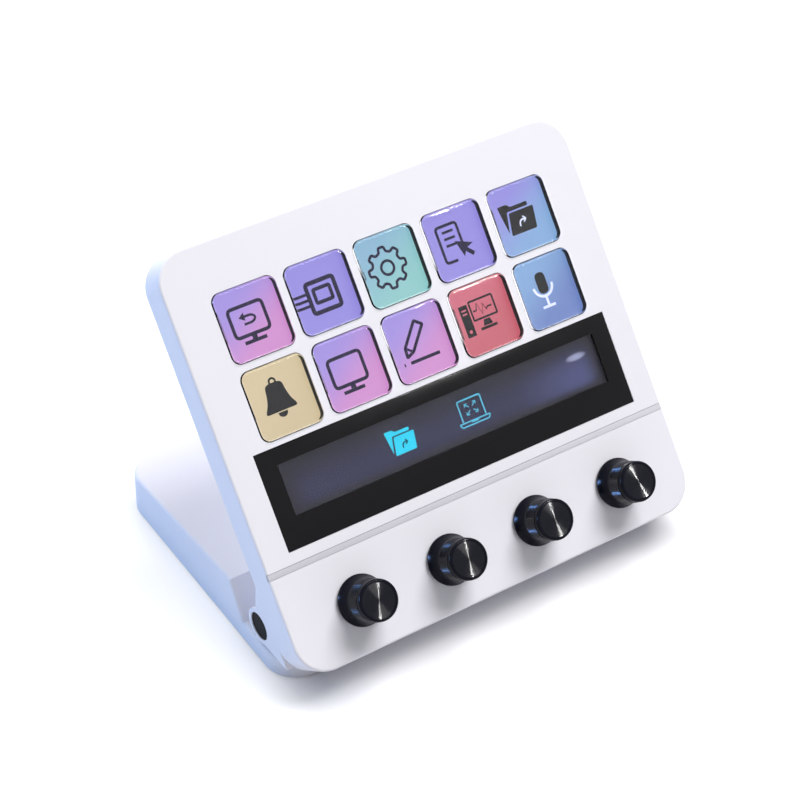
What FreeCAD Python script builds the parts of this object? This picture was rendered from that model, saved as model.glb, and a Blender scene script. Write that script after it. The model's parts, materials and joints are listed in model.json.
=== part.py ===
import FreeCAD, Part
import os
import re
import Sketcher

# Tilting macro keypad: a thin panel with ten clear key caps, a display strip and four push
# knobs, hinged near its lower edge to a low wedge base. Millimetres, +Z up.
# The origin is at floor level under the middle of the whole part, from the foremost knob edge to
# the back of the base. The panel looks towards -Y.

os.makedirs("parts", exist_ok=True)
doc = FreeCAD.newDocument("MacroKeypad")
V = FreeCAD.Vector

COLUMNS = 5
ROWS = 2
KNOBS = 4

# Driving sizes
SIZES = [
    # base
    ("base_depth", 94.8, "base, front to back"),
    ("base_corner", 10.0, "plan corner radius of the base"),
    ("base_lift", 0.5, "gap under the base shell, made by the feet"),
    ("deck_height", 7.2, "top of the low front deck"),
    ("fold_height", 18.7, "top of the base where it drops to the deck"),
    ("back_height", 13.4, "top of the base at its back edge"),
    ("fold_back", 29.5, "front edge of the base to the fold"),
    ("ramp_foot", 22.5, "front edge of the base to the foot of the ramp"),
    ("base_wall", 2.2, "base side walls"),
    ("base_roof", 2.0, "base top wall"),
    ("base_round", 1.2, "rounded top edge of the base"),
    ("bottom_thick", 1.6, "base bottom plate"),
    ("lid_gap", 0.15, "gap round a lid"),
    ("foot_radius", 6.0, "rubber foot"),
    ("foot_thick", 1.5, "rubber foot"),
    ("foot_inset_x", 15.0, "side of the base to a foot's centre"),
    ("foot_inset_y", 14.0, "end of the base to a foot's centre"),
    ("post_radius", 3.0, "screw post in the base"),
    ("post_inset_x", 29.0, "side of the base to a screw post's centre"),
    ("post_inset_y", 9.4, "end of the base to a screw post's centre"),
    ("ramp_wall", 2.6, "wall of the ramp, measured level"),
    # hinge
    ("axis_front", 13.2, "front edge of the base to the hinge axis"),
    ("axis_height", 13.8, "hinge axis above the floor"),
    ("stand_angle", 49.6, "panel from the horizontal, at rest, degrees"),
    ("lug_radius", 5.7, "hinge lugs round the axis"),
    ("lug_width", 11.0, "panel lug along the axis"),
    ("knuckle_width", 12.0, "base knuckle along the axis"),
    ("knuckle_gap", 0.4, "side gap between lug and knuckle"),
    ("pin_radius", 2.5, "hinge pin"),
    ("bush_wall", 1.2, "wall of the friction bushing"),
    ("pin_fit", 0.03, "radial clearance of the pin in its bushing"),
    ("press_fit", 0.01, "radial clearance of a pressed piece"),
    ("cap_radius", 4.4, "round hinge cap"),
    ("cap_thick", 1.6, "round hinge cap"),
    ("cap_recess", 0.3, "hinge cap below the lug's face"),
    ("web_sink", 0.5, "webs sunk into the deck and into the lugs"),
    ("web_low", 13.2, "hinge axis down to the low end of a lug's web"),
    ("web_high", 12.0, "hinge axis up to the high end of a lug's web"),
    ("web_low_turn", 216.0, "where the web's low side leaves the lug, degrees"),
    ("web_high_turn", 20.0, "where the web's high side leaves the lug, degrees"),
    # panel
    ("panel_width", 138.0, "panel and base, side to side"),
    ("panel_height", 124.4, "panel, bottom edge to top edge"),
    ("panel_depth", 11.9, "panel, front face to back face"),
    ("panel_corner", 10.0, "panel corner radius"),
    ("panel_round", 0.8, "rounded front and back edges"),
    ("axis_up", 16.7, "panel's bottom edge to the hinge axis"),
    ("axis_behind", 19.7, "panel's front face to the hinge axis"),
    ("shell_wall", 2.0, "front cover walls"),
    ("rear_thick", 2.4, "rear cover"),
    ("groove_top", 32.0, "panel's bottom edge to the groove's top"),
    ("groove_width", 2.0, "groove across the panel"),
    ("groove_depth", 0.9, "groove across the panel"),
    ("stud_radius", 2.6, "screw stud in the panel"),
    ("stud_inset", 5.8, "side of the panel to a stud's centre"),
    ("stud_low", 11.0, "end of the panel to a stud's centre"),
    # keys
    ("key_space_x", 2.9, "between key caps side by side"),
    ("key_space_y", 2.6, "between key caps one above the other"),
    ("key_corner", 2.6, "key cap corner radius"),
    ("key_round", 0.6, "rounded top edge of a key cap"),
    ("key_low", 65.9, "panel's bottom edge to the lower row"),
    ("key_proud", 1.0, "key cap above the panel"),
    ("key_gap", 0.25, "gap round a key cap"),
    ("key_lip", 0.7, "flange round a key cap's foot"),
    ("flange_thick", 0.8, "flange of a key cap"),
    ("rest_gap", 0.3, "flange below the front wall"),
    ("key_travel", 1.4, "key stroke"),
    ("film_gap", 0.1, "pressed key cap above the contact film"),
    ("film_rim", 0.3, "edge of a key cap that rests on the film"),
    ("grid_border", 0.9, "border of the key guide grid"),
    ("film_thick", 0.3, "contact film under the keys"),
    ("lcd_margin", 2.9, "key display past the outer key caps"),
    ("lcd_thick", 2.0, "key display"),
    ("cushion_inset", 4.0, "edge of the key display to its cushion"),
    # strip
    ("strip_side", 8.65, "side of the panel to the glass strip"),
    ("strip_height", 28.6, "glass strip"),
    ("strip_low", 35.4, "panel's bottom edge to the glass strip"),
    ("strip_thick", 1.2, "glass strip"),
    ("strip_gap", 0.1, "gap round the glass strip"),
    ("window_side", 5.85, "end of the glass strip to its window"),
    ("window_height", 15.1, "display window of the strip"),
    ("window_low", 44.1, "panel's bottom edge to the display window"),
    ("seat_margin", 2.0, "opening behind the glass past the window"),
    ("screen_margin", 4.0, "strip display past its window"),
    ("screen_thick", 2.0, "strip display"),
    # board
    ("board_thick", 1.2, "main board"),
    ("board_margin", 8.6, "panel's edge to the board's edge"),
    ("board_gap", 0.5, "board above the rear cover"),
    ("board_post", 6.0, "edge of the board to a post under it"),
    ("socket_width", 9.0, "power and data socket"),
    ("socket_height", 3.3, "power and data socket"),
    ("socket_wall", 0.3, "power and data socket shell"),
    ("socket_up", 90.4, "panel's bottom edge to the socket"),
    ("socket_gap", 0.25, "gap round the socket in the rear cover"),
    ("socket_sunk", 0.3, "socket's mouth below the rear face"),
    ("socket_floor", 0.6, "closed end of the socket"),
    ("tongue_thick", 0.7, "contact tongue of the socket"),
    ("tongue_side", 1.1, "side of the socket to its tongue"),
    # knobs
    ("knob_side", 23.7, "side of the panel to the outer knobs"),
    ("knob_up", 15.0, "panel's bottom edge to the knobs"),
    ("knob_spare", 0.2, "pressed knob above the panel"),
    ("knob_top", 12.6, "top of a knob above the panel"),
    ("skirt_radius", 7.5, "foot of a knob"),
    ("skirt_edge", 0.8, "straight edge of the skirt"),
    ("turn_step", 0.25, "slope where the knob's radius changes"),
    ("cone_top", 5.0, "top of the skirt's cone above the panel"),
    ("neck_radius", 6.0, "top of the skirt's cone"),
    ("grip_radius", 6.25, "knurled grip"),
    ("grip_top", 10.4, "top of the grip above the panel"),
    ("groove_radius", 5.75, "groove under the crown"),
    ("crown_radius", 6.05, "crown of a knob"),
    ("crown_low", 10.9, "bottom of the crown above the panel"),
    ("crown_bevel", 0.45, "bevel of the crown"),
    ("face_radius", 5.2, "turned end face"),
    ("face_depth", 0.15, "turned end face below the rim"),
    ("shaft_radius", 3.0, "encoder shaft inside the knob"),
    ("shaft_flat", 1.0, "depth of the flat on the shaft"),
    ("shaft_top", 10.6, "top of the shaft above the panel"),
    ("shaft_low", 0.9, "bottom of the thick shaft above the panel"),
    ("shaft_spare", 0.3, "bore of the knob above the shaft"),
    ("shaft_round", 1.0, "full round foot of the shaft below its flat"),
    ("spindle_radius", 1.6, "encoder spindle"),
    ("sleeve_wall", 0.9, "wall of the push sleeve"),
    ("sleeve_top", 0.2, "top of the push sleeve below the panel's face"),
    ("collar_gap", 0.2, "gap between sleeve and shaft"),
    ("sleeve_room", 1.2, "push sleeve above the board"),
    ("encoder_floor", 0.6, "closed end of the encoder"),
    ("knob_travel", 0.5, "push stroke of a knob"),
    ("encoder_width", 12.4, "encoder body"),
    ("encoder_height", 4.4, "encoder body"),
    ("bushing_wall", 1.0, "encoder bushing"),
    ("bushing_top", 0.4, "top of the bushing below the panel's face"),
    ("bushing_gap", 0.3, "gap round the bushing in the front cover"),
    ("slide_fit", 0.05, "radial clearance of a sliding sleeve"),
    # screws
    ("screw_radius", 1.1, "screw shank"),
    ("screw_head", 2.1, "screw head radius"),
    ("head_thick", 0.9, "screw head"),
    ("head_gap", 0.2, "gap round a screw head"),
    ("screw_length", 4.2, "screw shank in the panel"),
    ("short_screw", 3.2, "screw shank in the base"),
    ("screw_tip", 0.2, "hole past the end of a screw"),
    ("head_sunk", 0.2, "screw head below the rear face"),
]

sheet = doc.addObject("Spreadsheet::Sheet", "Sizes")
for line, (alias, number, note) in enumerate(SIZES, start=1):
    sheet.set(f"A{line}", alias)
    sheet.set(f"B{line}", str(number))
    sheet.setAlias(f"B{line}", alias)
    sheet.set(f"C{line}", note)
doc.recompute()

ALIASES = sorted((alias for alias, _, _ in SIZES), key=len, reverse=True)
WORD = re.compile(r"\b(" + "|".join(ALIASES) + r")\b")

# Sizes and places that several pieces share, in terms of the sheet. SPARE is how far a cut
# starts outside what it cuts, ALMOST keeps a round end just short of a half circle, and TOUCH is
# how close an edge counts as being on a plane.
COS, SIN = "cos(stand_angle * 1 deg)", "sin(stand_angle * 1 deg)"
AXIS_IN_BASE = "(axis_front - base_depth / 2)"
FRONT_REACH = (f"((axis_up - knob_up + crown_radius - crown_bevel) * {COS}"
               f" + (axis_behind + knob_top) * {SIN})")
AXIS_Y = f"(({FRONT_REACH} - base_depth + axis_front) / 2)"
BASE_WIDTH = "panel_width"
LUG_INNER = "(panel_width / 2 - lug_width)"
KNUCKLE_OUTER = f"({LUG_INNER} - knuckle_gap)"
CAP_SEAT = "(panel_width / 2 - cap_thick - cap_recess)"
BUSH_RADIUS = "(pin_radius + pin_fit + bush_wall)"
REAR_FACE = "(rear_thick - panel_depth)"
BOARD_LOW = f"({REAR_FACE} + board_gap)"
BOARD_TOP = f"({BOARD_LOW} + board_thick)"
KEY_PITCH = f"(panel_width / {COLUMNS + 1})"
KEY_WIDTH = f"({KEY_PITCH} - key_space_x)"
KEY_HEIGHT = f"({KEY_PITCH} - key_space_y)"
KEYS_WIDTH = f"({COLUMNS - 1} * {KEY_PITCH})"
KEY_FIRST = f"(-{KEYS_WIDTH} / 2)"
KEY_ROW = f"(key_low + {KEY_HEIGHT} / 2)"
KEYS_MIDDLE = f"({KEY_ROW} + {KEY_PITCH} * {ROWS - 1} / 2)"
LCD_WIDTH = f"({KEYS_WIDTH} + {KEY_WIDTH} + 2 * lcd_margin)"
LCD_HEIGHT = f"({KEY_PITCH} * {ROWS - 1} + {KEY_HEIGHT} + 2 * lcd_margin)"
CAP_LOW = "(-shell_wall - rest_gap - flange_thick)"
FILM_TOP = f"({CAP_LOW} - key_travel - film_gap)"
LCD_TOP = f"({FILM_TOP} - film_thick)"
LCD_LOW = f"({LCD_TOP} - lcd_thick)"
STRIP_WIDTH = "(panel_width - 2 * strip_side)"
STRIP_MIDDLE = "(strip_low + strip_height / 2)"
WINDOW_WIDTH = f"({STRIP_WIDTH} - 2 * window_side)"
WINDOW_MIDDLE = "(window_low + window_height / 2)"
KNOB_PITCH = f"((panel_width - 2 * knob_side) / {KNOBS - 1})"
KNOB_FIRST = "(knob_side - panel_width / 2)"
KNOB_LOW = "(knob_travel + knob_spare)"
SLEEVE_RADIUS = "(spindle_radius + slide_fit + sleeve_wall)"
BORE_RADIUS = f"({SLEEVE_RADIUS} + slide_fit)"
ENCODER_TOP = f"({BOARD_TOP} + encoder_height)"
SLEEVE_LOW = f"({BOARD_TOP} + sleeve_room)"
SPARE = "1"
ALMOST = "0.05"


def bound(text):
    """Turn plain size names into an expression on the sheet."""
    return WORD.sub(r"Sizes.\1", str(text))


def value(text):
    """The present value of an expression in size names."""
    return float(doc.getObject("Sizes").evalExpression(bound(text)))


TOUCH = 0.01


class Piece:
    """One part-design body, drawn in the frame of the base or of the panel."""

    def __init__(self, label, frame="base"):
        self.label = label
        self.body = doc.addObject("PartDesign::Body", "Body_" + label)
        self.body.Label = label
        self.count = 0
        if frame == "panel":
            place_on_panel(self.body)
        else:
            self.body.setExpression("Placement.Base.y", bound(f"{AXIS_Y} - {AXIS_IN_BASE}"))

    def name(self, kind):
        self.count += 1
        return f"{self.label}_{kind}_{self.count}"

    def sketch(self, plane="XY", x="0", y="0", z="0"):
        """An empty sketch whose own origin sits at x, y, z of the plane's axes."""
        made = self.body.newObject("Sketcher::SketchObject", self.name("sketch"))
        role = plane + "_Plane"
        base = [item for item in self.body.Origin.OriginFeatures if item.Role == role][0]
        made.AttachmentSupport = [(base, "")]
        made.MapMode = "FlatFace"
        for axis, text in (("x", x), ("y", y), ("z", z)):
            made.setExpression("AttachmentOffset.Base." + axis, bound(text))
        return made

    def pad(self, sketch, length, both=False, reverse=False):
        made = self.body.newObject("PartDesign::Pad", self.name("pad"))
        made.Profile = sketch
        made.setExpression("Length", bound(length))
        made.Midplane = both
        made.Reversed = reverse
        doc.recompute()
        return made

    def pocket(self, sketch, length, both=False, reverse=False):
        """Cut down from the sketch, or up when reversed; a cut that misses is an error."""
        before = self.body.Shape.Volume
        made = self.body.newObject("PartDesign::Pocket", self.name("pocket"))
        made.Profile = sketch
        made.setExpression("Length", bound(length))
        made.Midplane = both
        made.Reversed = reverse
        doc.recompute()
        if not self.body.Shape.Volume < before:
            raise RuntimeError(self.label + ": a pocket cut nothing")
        return made

    def row(self, feature, step, copies, rows=1, row_step=None):
        """Repeat a feature along X, and along Y too where rows are asked for."""
        made = self.body.newObject("PartDesign::LinearPattern", self.name("row"))
        made.Originals = [feature]
        made.Direction = (self.axis("X_Axis"), [""])
        made.setExpression("Length", bound(f"({copies} - 1) * {step}"))
        made.Occurrences = copies
        if rows > 1:
            made.Direction2 = (self.axis("Y_Axis"), [""])
            made.setExpression("Length2", bound(f"({rows} - 1) * {row_step}"))
            made.Occurrences2 = rows
        self.body.Tip = made
        doc.recompute()
        return made

    def mirror(self, features):
        """Repeat features on the other side of the middle."""
        made = self.body.newObject("PartDesign::Mirrored", self.name("mirror"))
        made.Originals = features
        side = [item for item in self.body.Origin.OriginFeatures if item.Role == "YZ_Plane"][0]
        made.MirrorPlane = (side, [""])
        self.body.Tip = made
        doc.recompute()
        return made

    def axis(self, role):
        return [item for item in self.body.Origin.OriginFeatures if item.Role == role][0]

    def fillet(self, edges, radius):
        base = self.body.Tip
        made = self.body.newObject("PartDesign::Fillet", self.name("fillet"))
        made.Base = (base, edges)
        made.setExpression("Radius", bound(radius))
        self.body.Tip = made
        doc.recompute()
        if "Error" in made.State or "Invalid" in made.State:
            raise RuntimeError(self.label + ": a fillet failed")
        return made

    def edges(self, test):
        """Names of the edges, in the body's own frame, that pass a test."""
        found = []
        for index, edge in enumerate(self.body.Tip.Shape.Edges, start=1):
            if test(edge):
                found.append(f"Edge{index}")
        return found


def place_on_panel(body):
    """Panel frame: x across, y up from the panel's bottom edge, z out of its front face."""
    body.Placement = FreeCAD.Placement(V(0, 0, 0), FreeCAD.Rotation(V(1, 0, 0), 45))
    body.setExpression("Placement.Rotation.Angle", bound("stand_angle"))
    body.setExpression("Placement.Base.y", bound(f"{AXIS_Y} - axis_up * {COS} - axis_behind * {SIN}"))
    body.setExpression("Placement.Base.z", bound(f"axis_height - axis_up * {SIN} + axis_behind * {COS}"))


def tie(sketch, kind, args, text):
    """Add a dimension whose value is an expression on the sheet."""
    index = sketch.addConstraint(Sketcher.Constraint(kind, *args, value(text)))
    name = f"size_{index}"
    sketch.renameConstraint(index, name)
    sketch.setExpression("Constraints." + name, bound(text))


def draw_profile(sketch, points):
    """A closed outline of straight lines through points given as pairs of expressions."""
    at = [V(value(x), value(y), 0) for x, y in points]
    lines = []
    for index, start in enumerate(at):
        end = at[(index + 1) % len(at)]
        lines.append(sketch.addGeometry(Part.LineSegment(start, end), False))
    for index, line in enumerate(lines):
        after = lines[(index + 1) % len(lines)]
        sketch.addConstraint(Sketcher.Constraint("Coincident", line, 2, after, 1))
    for line, (x, y) in zip(lines, points):
        tie(sketch, "DistanceX", (-1, 1, line, 1), x)
        tie(sketch, "DistanceY", (-1, 1, line, 1), y)


def draw_disc(sketch, radius, x="0", y="0"):
    centre = V(value(x), value(y), 0)
    ring = sketch.addGeometry(Part.Circle(centre, V(0, 0, 1), value(radius)), False)
    tie(sketch, "Radius", (ring,), radius)
    tie(sketch, "DistanceX", (-1, 1, ring, 3), x)
    tie(sketch, "DistanceY", (-1, 1, ring, 3), y)


def draw_box(sketch, width, height, x="0", y="0"):
    """A rectangle with its middle at x, y of the sketch."""
    left, right = f"{x} - ({width}) / 2", f"{x} + ({width}) / 2"
    low, high = f"{y} - ({height}) / 2", f"{y} + ({height}) / 2"
    draw_profile(sketch, [(left, low), (right, low), (right, high), (left, high)])


def draw_rounded_box(sketch, width, height, radius):
    """A rectangle with rounded corners, centred on the sketch's origin."""
    half_x, half_y, r = value(width) / 2, value(height) / 2, value(radius)
    corners = [(1, 1, 0), (-1, 1, 90), (-1, -1, 180), (1, -1, 270)]
    arcs = []
    for side_x, side_y, start in corners:
        centre = V(side_x * (half_x - r), side_y * (half_y - r), 0)
        ring = Part.Circle(centre, V(0, 0, 1), r)
        begin = start * 3.141592653589793 / 180
        arcs.append(sketch.addGeometry(Part.ArcOfCircle(ring, begin, begin + 1.5707963267948966), False))
    for index, arc in enumerate(arcs):
        after = arcs[(index + 1) % 4]
        first = sketch.getPoint(arc, 2)
        second = sketch.getPoint(after, 1)
        line = sketch.addGeometry(Part.LineSegment(first, second), False)
        sketch.addConstraint(Sketcher.Constraint("Tangent", arc, 2, line, 1))
        sketch.addConstraint(Sketcher.Constraint("Tangent", line, 2, after, 1))
    tie(sketch, "Radius", (arcs[0],), radius)
    for arc, (side_x, side_y, _) in zip(arcs, corners):
        if side_x < 0 or side_y < 0:
            sketch.addConstraint(Sketcher.Constraint("Equal", arcs[0], arc))
    tie(sketch, "DistanceX", (-1, 1, arcs[0], 3), f"({width}) / 2 - ({radius})")
    tie(sketch, "DistanceY", (-1, 1, arcs[0], 3), f"({height}) / 2 - ({radius})")
    tie(sketch, "DistanceX", (-1, 1, arcs[2], 3), f"({radius}) - ({width}) / 2")
    tie(sketch, "DistanceY", (-1, 1, arcs[2], 3), f"({radius}) - ({height}) / 2")
    sketch.addConstraint(Sketcher.Constraint("Horizontal", arcs[0], 3, arcs[1], 3))
    sketch.addConstraint(Sketcher.Constraint("Vertical", arcs[1], 3, arcs[2], 3))
    sketch.addConstraint(Sketcher.Constraint("Horizontal", arcs[2], 3, arcs[3], 3))
    sketch.addConstraint(Sketcher.Constraint("Vertical", arcs[3], 3, arcs[0], 3))


def rounded_plate(piece, width, height, radius, low, thick, x="0", y="0"):
    sketch = piece.sketch("XY", x, y, low)
    draw_rounded_box(sketch, width, height, radius)
    return piece.pad(sketch, thick)


def rounded_hole(piece, width, height, radius, top, depth, x="0", y="0"):
    sketch = piece.sketch("XY", x, y, top)
    draw_rounded_box(sketch, width, height, radius)
    return piece.pocket(sketch, depth)


def plain_plate(piece, width, height, low, thick, x="0", y="0"):
    sketch = piece.sketch("XY", x, y, low)
    draw_box(sketch, width, height)
    return piece.pad(sketch, thick)


def plain_hole(piece, width, height, top, depth, x="0", y="0"):
    sketch = piece.sketch("XY", x, y, top)
    draw_box(sketch, width, height)
    return piece.pocket(sketch, depth)


def round_post(piece, radius, low, thick, x="0", y="0"):
    sketch = piece.sketch("XY", x, y, low)
    draw_disc(sketch, radius)
    return piece.pad(sketch, thick)


def round_hole(piece, radius, top, depth, x="0", y="0"):
    sketch = piece.sketch("XY", x, y, top)
    draw_disc(sketch, radius)
    return piece.pocket(sketch, depth)


def four_corners(half_x, half_y):
    return [(f"{sx}{half_x}", f"{sy}{half_y}") for sx in ("", "-") for sy in ("", "-")]


# Base
def roof_line(rise):
    """Side profile of the base above its deck, front to back, raised or sunk by a distance."""
    front, back = "-base_depth / 2", "base_depth / 2"
    return [
        (f"{front} + ramp_foot", f"deck_height + {rise}"),
        (f"{front} + fold_back", f"fold_height + {rise}"),
        (back, f"back_height + {rise}"),
    ]


FOOT_SPOTS = four_corners(f"({BASE_WIDTH} / 2 - foot_inset_x)", "(base_depth / 2 - foot_inset_y)")
SCREW_SPOTS = four_corners(f"({BASE_WIDTH} / 2 - post_inset_x)", "(base_depth / 2 - post_inset_y)")
BOTTOM_TOP = "(base_lift + bottom_thick)"


def base_housing():
    """White wedge shell, open below, with the two hinge knuckles on its deck."""
    piece = Piece("base_housing")
    rounded_plate(piece, BASE_WIDTH, "base_depth", "base_corner", "base_lift",
                  "fold_height - base_lift")
    above = f"fold_height + {SPARE}"
    front, back = f"-base_depth / 2 - {SPARE}", f"base_depth / 2 + {SPARE}"
    sketch = piece.sketch("YZ")
    foot, fold, _ = roof_line("0")
    drop = "(fold_height - back_height) / (base_depth - fold_back)"
    draw_profile(sketch, [(front, "deck_height"), foot, fold, (back, f"back_height - {drop} * {SPARE}"),
                          (back, above), (front, above)])
    piece.pocket(sketch, f"{BASE_WIDTH} + {SPARE}", both=True)
    inner = "base_wall * 2"
    rounded_hole(piece, f"{BASE_WIDTH} - {inner}", f"base_depth - {inner}", "base_corner - base_wall",
                 "deck_height - base_roof", "deck_height - base_roof - base_lift")
    sketch = piece.sketch("YZ")
    run = "(fold_back - ramp_foot) / (fold_height - deck_height)"
    start = f"(deck_height - base_roof - {SPARE})"
    under_fold = "(fold_height - base_roof)"
    at_fold = "fold_back - base_depth / 2 + ramp_wall"
    inside = "base_depth / 2 - base_wall"
    draw_profile(sketch, [(f"{at_fold} - {run} * ({under_fold} - {start})", start), (at_fold, under_fold),
                          (inside, f"back_height - base_roof + {drop} * base_wall"), (inside, start)])
    piece.pocket(sketch, f"{BASE_WIDTH} - {inner} - base_corner / 2", both=True)
    top = value("base_lift") + 1
    near_side = value(BASE_WIDTH) / 2 - value("base_corner") - 1
    side = value(BASE_WIDTH) / 2 - TOUCH
    end = value("base_depth") / 2 - TOUCH

    def on_top_rim(edge):
        box = edge.BoundBox
        if box.ZMin < top or edge.Length < 1:
            return False
        at_side = (box.XMin > near_side and box.XMax > side) or (box.XMax < -near_side and box.XMin < -side)
        at_end = box.YMax > end or box.YMin < -end
        upright = box.XLength < TOUCH and box.YLength < TOUCH
        return (at_side or at_end) and not upright

    piece.fillet(piece.edges(on_top_rim), "base_round")
    for x, y in SCREW_SPOTS:
        at_front = y.startswith("-")
        roof = "deck_height" if at_front else f"back_height + {drop} * post_inset_y"
        round_post(piece, "post_radius", BOTTOM_TOP, f"{roof} - {BOTTOM_TOP} - base_roof / 2", x, y)
        round_hole(piece, "screw_radius + press_fit", f"{BOTTOM_TOP} + short_screw + screw_tip",
                   "short_screw + screw_tip", x, y)
    centre = f"{KNUCKLE_OUTER} - knuckle_width"
    sketch = piece.sketch("YZ", AXIS_IN_BASE, "axis_height", centre)
    draw_disc(sketch, "lug_radius")
    knob = piece.pad(sketch, "knuckle_width")
    sketch = piece.sketch("YZ", AXIS_IN_BASE, "0", centre)
    draw_box(sketch, "2 * lug_radius", "axis_height - deck_height + web_sink", "0",
             "(axis_height + deck_height - web_sink) / 2")
    web = piece.pad(sketch, "knuckle_width")
    piece.mirror([knob, web])
    sketch = piece.sketch("YZ", AXIS_IN_BASE, "axis_height")
    draw_disc(sketch, f"{BUSH_RADIUS} + press_fit")
    piece.pocket(sketch, BASE_WIDTH, both=True)
    return piece


def base_bottom_plate():
    piece = Piece("base_bottom_plate")
    rim = "2 * (base_wall + lid_gap)"
    rounded_plate(piece, f"{BASE_WIDTH} - {rim}", f"base_depth - {rim}",
                  "base_corner - base_wall - lid_gap", "base_lift", "bottom_thick")
    for x, y in SCREW_SPOTS:
        round_hole(piece, "screw_radius + head_gap", BOTTOM_TOP, "bottom_thick", x, y)
        round_hole(piece, "screw_head + head_gap", "base_lift + head_thick", "head_thick", x, y)
    for x, y in FOOT_SPOTS:
        round_hole(piece, "foot_radius + lid_gap", "foot_thick", "foot_thick - base_lift", x, y)
    return piece


def rubber_feet():
    piece = Piece("rubber_feet")
    for x, y in FOOT_SPOTS:
        round_post(piece, "foot_radius", "0", "foot_thick", x, y)
    return piece


def screws(label, frame, spots, head_low, upward):
    """A set of pan head screws; their shanks point up into the shell."""
    piece = Piece(label, frame)
    for x, y in spots:
        round_post(piece, "screw_head", head_low, "head_thick", x, y)
        round_post(piece, "screw_radius", f"{head_low} + head_thick", upward, x, y)
    return piece


def along_axis(label, frame, parts):
    """Round pieces on the hinge axis, the same on both sides; each is radius, hole, from, to."""
    piece = Piece(label, frame)
    across, up = (AXIS_IN_BASE, "axis_height") if frame == "base" else ("axis_up", "-axis_behind")
    for radius, hole, start, end in parts:
        sketch = piece.sketch("YZ", across, up, start)
        draw_disc(sketch, radius)
        if hole:
            draw_disc(sketch, hole)
        first = piece.pad(sketch, f"{end} - ({start})")
        piece.mirror([first])
    return piece


# Panel shells
STUD_SPOTS = [
    (f"{side}(panel_width / 2 - stud_inset)", y)
    for side in ("", "-")
    for y in ("stud_low", "panel_height / 2", "(panel_height - stud_low)")
]


def panel_front_cover():
    """White front shell: windows for the caps, seat for the glass, knob holes and the groove."""
    piece = Piece("panel_front_cover", "panel")
    middle = "panel_height / 2"
    deep = "panel_depth - rear_thick"
    rounded_plate(piece, "panel_width", "panel_height", "panel_corner", f"-({deep})", deep, "0", middle)
    front = piece.edges(lambda edge: edge.BoundBox.ZMin > -TOUCH)
    piece.fillet(front, "panel_round")
    sketch = piece.sketch("XY", "0", middle, f"-({deep})")
    wall = "2 * shell_wall"
    draw_rounded_box(sketch, f"panel_width - {wall}", f"panel_height - {wall}", "panel_corner - shell_wall")
    piece.pocket(sketch, f"{deep} - shell_wall", reverse=True)
    sketch = piece.sketch("YZ")
    low, high = "groove_top - groove_width", "groove_top"
    draw_profile(sketch, [(low, "-groove_depth"), (high, "-groove_depth"), (high, SPARE), (low, SPARE)])
    piece.pocket(sketch, f"panel_width + {SPARE}", both=True)
    hole = rounded_hole(piece, f"{KEY_WIDTH} + 2 * key_gap", f"{KEY_HEIGHT} + 2 * key_gap",
                        "key_corner + key_gap", "0", "shell_wall", KEY_FIRST, KEY_ROW)
    piece.row(hole, KEY_PITCH, COLUMNS, ROWS, KEY_PITCH)
    plain_hole(piece, f"{STRIP_WIDTH} + 2 * strip_gap", "strip_height + 2 * strip_gap", "0",
               "strip_thick", "0", STRIP_MIDDLE)
    plain_hole(piece, f"{WINDOW_WIDTH} + 2 * seat_margin", "window_height + 2 * seat_margin", "0",
               "shell_wall", "0", WINDOW_MIDDLE)
    hole = round_hole(piece, f"{BORE_RADIUS} + bushing_wall + bushing_gap", "0", "shell_wall",
                      KNOB_FIRST, "knob_up")
    piece.row(hole, KNOB_PITCH, KNOBS)
    for x, y in STUD_SPOTS:
        round_post(piece, "stud_radius", REAR_FACE, f"-shell_wall / 2 - {REAR_FACE}", x, y)
    for x, y in STUD_SPOTS:
        round_hole(piece, "screw_radius + press_fit", f"{REAR_FACE} + screw_length + screw_tip",
                   "screw_length + screw_tip", x, y)
    return piece


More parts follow.
